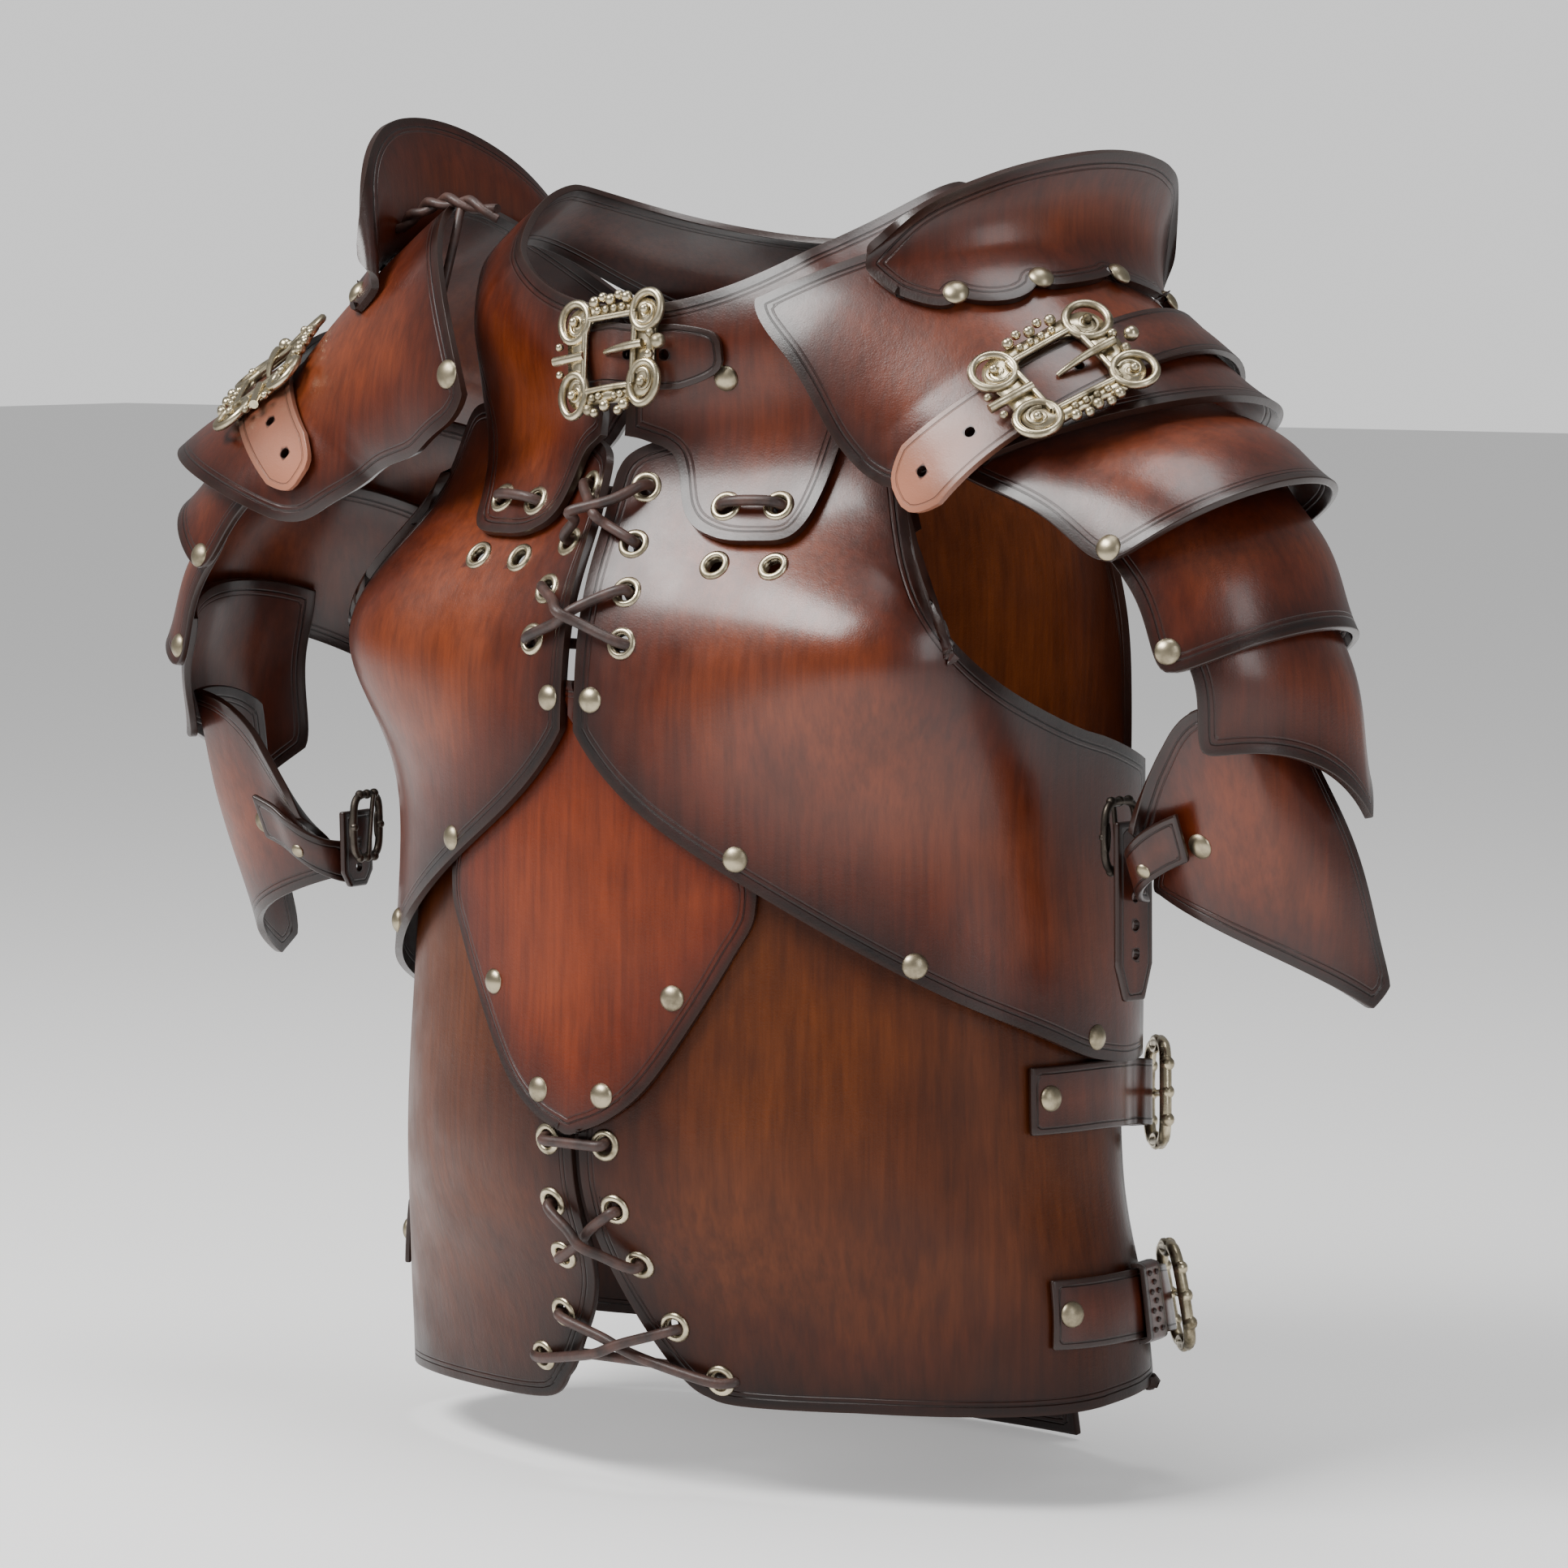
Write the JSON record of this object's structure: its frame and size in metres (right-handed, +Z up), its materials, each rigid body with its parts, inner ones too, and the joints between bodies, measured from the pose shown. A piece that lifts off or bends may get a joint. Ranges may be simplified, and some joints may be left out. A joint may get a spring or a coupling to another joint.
{
  "type": "leather chest armour",
  "caption": "Woman's leather cuirass shown worn: laced breast and belly panels, leaf-shaped shield, back plate, gorget, and buckled shoulder caps with lames.",
  "frame": {"origin": "where the armour sits on the wearer, midway between the tops of the shoulders", "axes": "+X to the wearer's left, +Y behind the wearer, +Z up"},
  "size_m": [0.5622, 0.2451, 0.5289],
  "materials": {
    "leather": "glossy mahogany vegetable-tanned leather, burnished dark at the edges",
    "strap_leather": "oiled brown strap leather",
    "buckle_metal": "antiqued cast brass with scrolls and beads",
    "lace": "dark brown round leather lace"
  },
  "bodies": {
    "root": {"abdomen_left": "leather", "abdomen_right": "leather", "arm_buckle_left": "buckle_metal", "arm_buckle_right": "buckle_metal", "arm_strap_end_left": "strap_leather", "arm_strap_end_right": "strap_leather", "arm_strap_left": "strap_leather", "arm_strap_right": "strap_leather", "back_plate": "leather", "belly_lace": "lace", "belly_shield": "leather", "breast_left": "leather", "breast_right": "leather", "chest_lace": "lace", "gorget_buckle": "buckle_metal", "gorget_left": "leather", "gorget_right": "leather", "gorget_strap": "strap_leather", "lame_1_left": "leather", "lame_1_right": "leather", "lame_2_left": "leather", "lame_2_right": "leather", "lame_3_left": "leather", "lame_3_right": "leather", "lame_4_left": "leather", "lame_4_right": "leather", "neck_guard_left": "leather", "neck_guard_right": "leather", "pauldron_buckle_left": "buckle_metal", "pauldron_buckle_right": "buckle_metal", "pauldron_cap_left": "leather", "pauldron_cap_right": "leather", "pauldron_strap_left": "strap_leather", "pauldron_strap_right": "strap_leather", "side_buckle_lower_left": "buckle_metal", "side_buckle_lower_right": "buckle_metal", "side_buckle_upper_left": "buckle_metal", "side_buckle_upper_right": "buckle_metal", "side_strap_lower_left": "strap_leather", "side_strap_lower_right": "strap_leather", "side_strap_upper_left": "strap_leather", "side_strap_upper_right": "strap_leather", "tab_lace_left": "lace", "tab_lace_right": "lace", "tail_flap": "leather"}
  },
  "joints": []
}
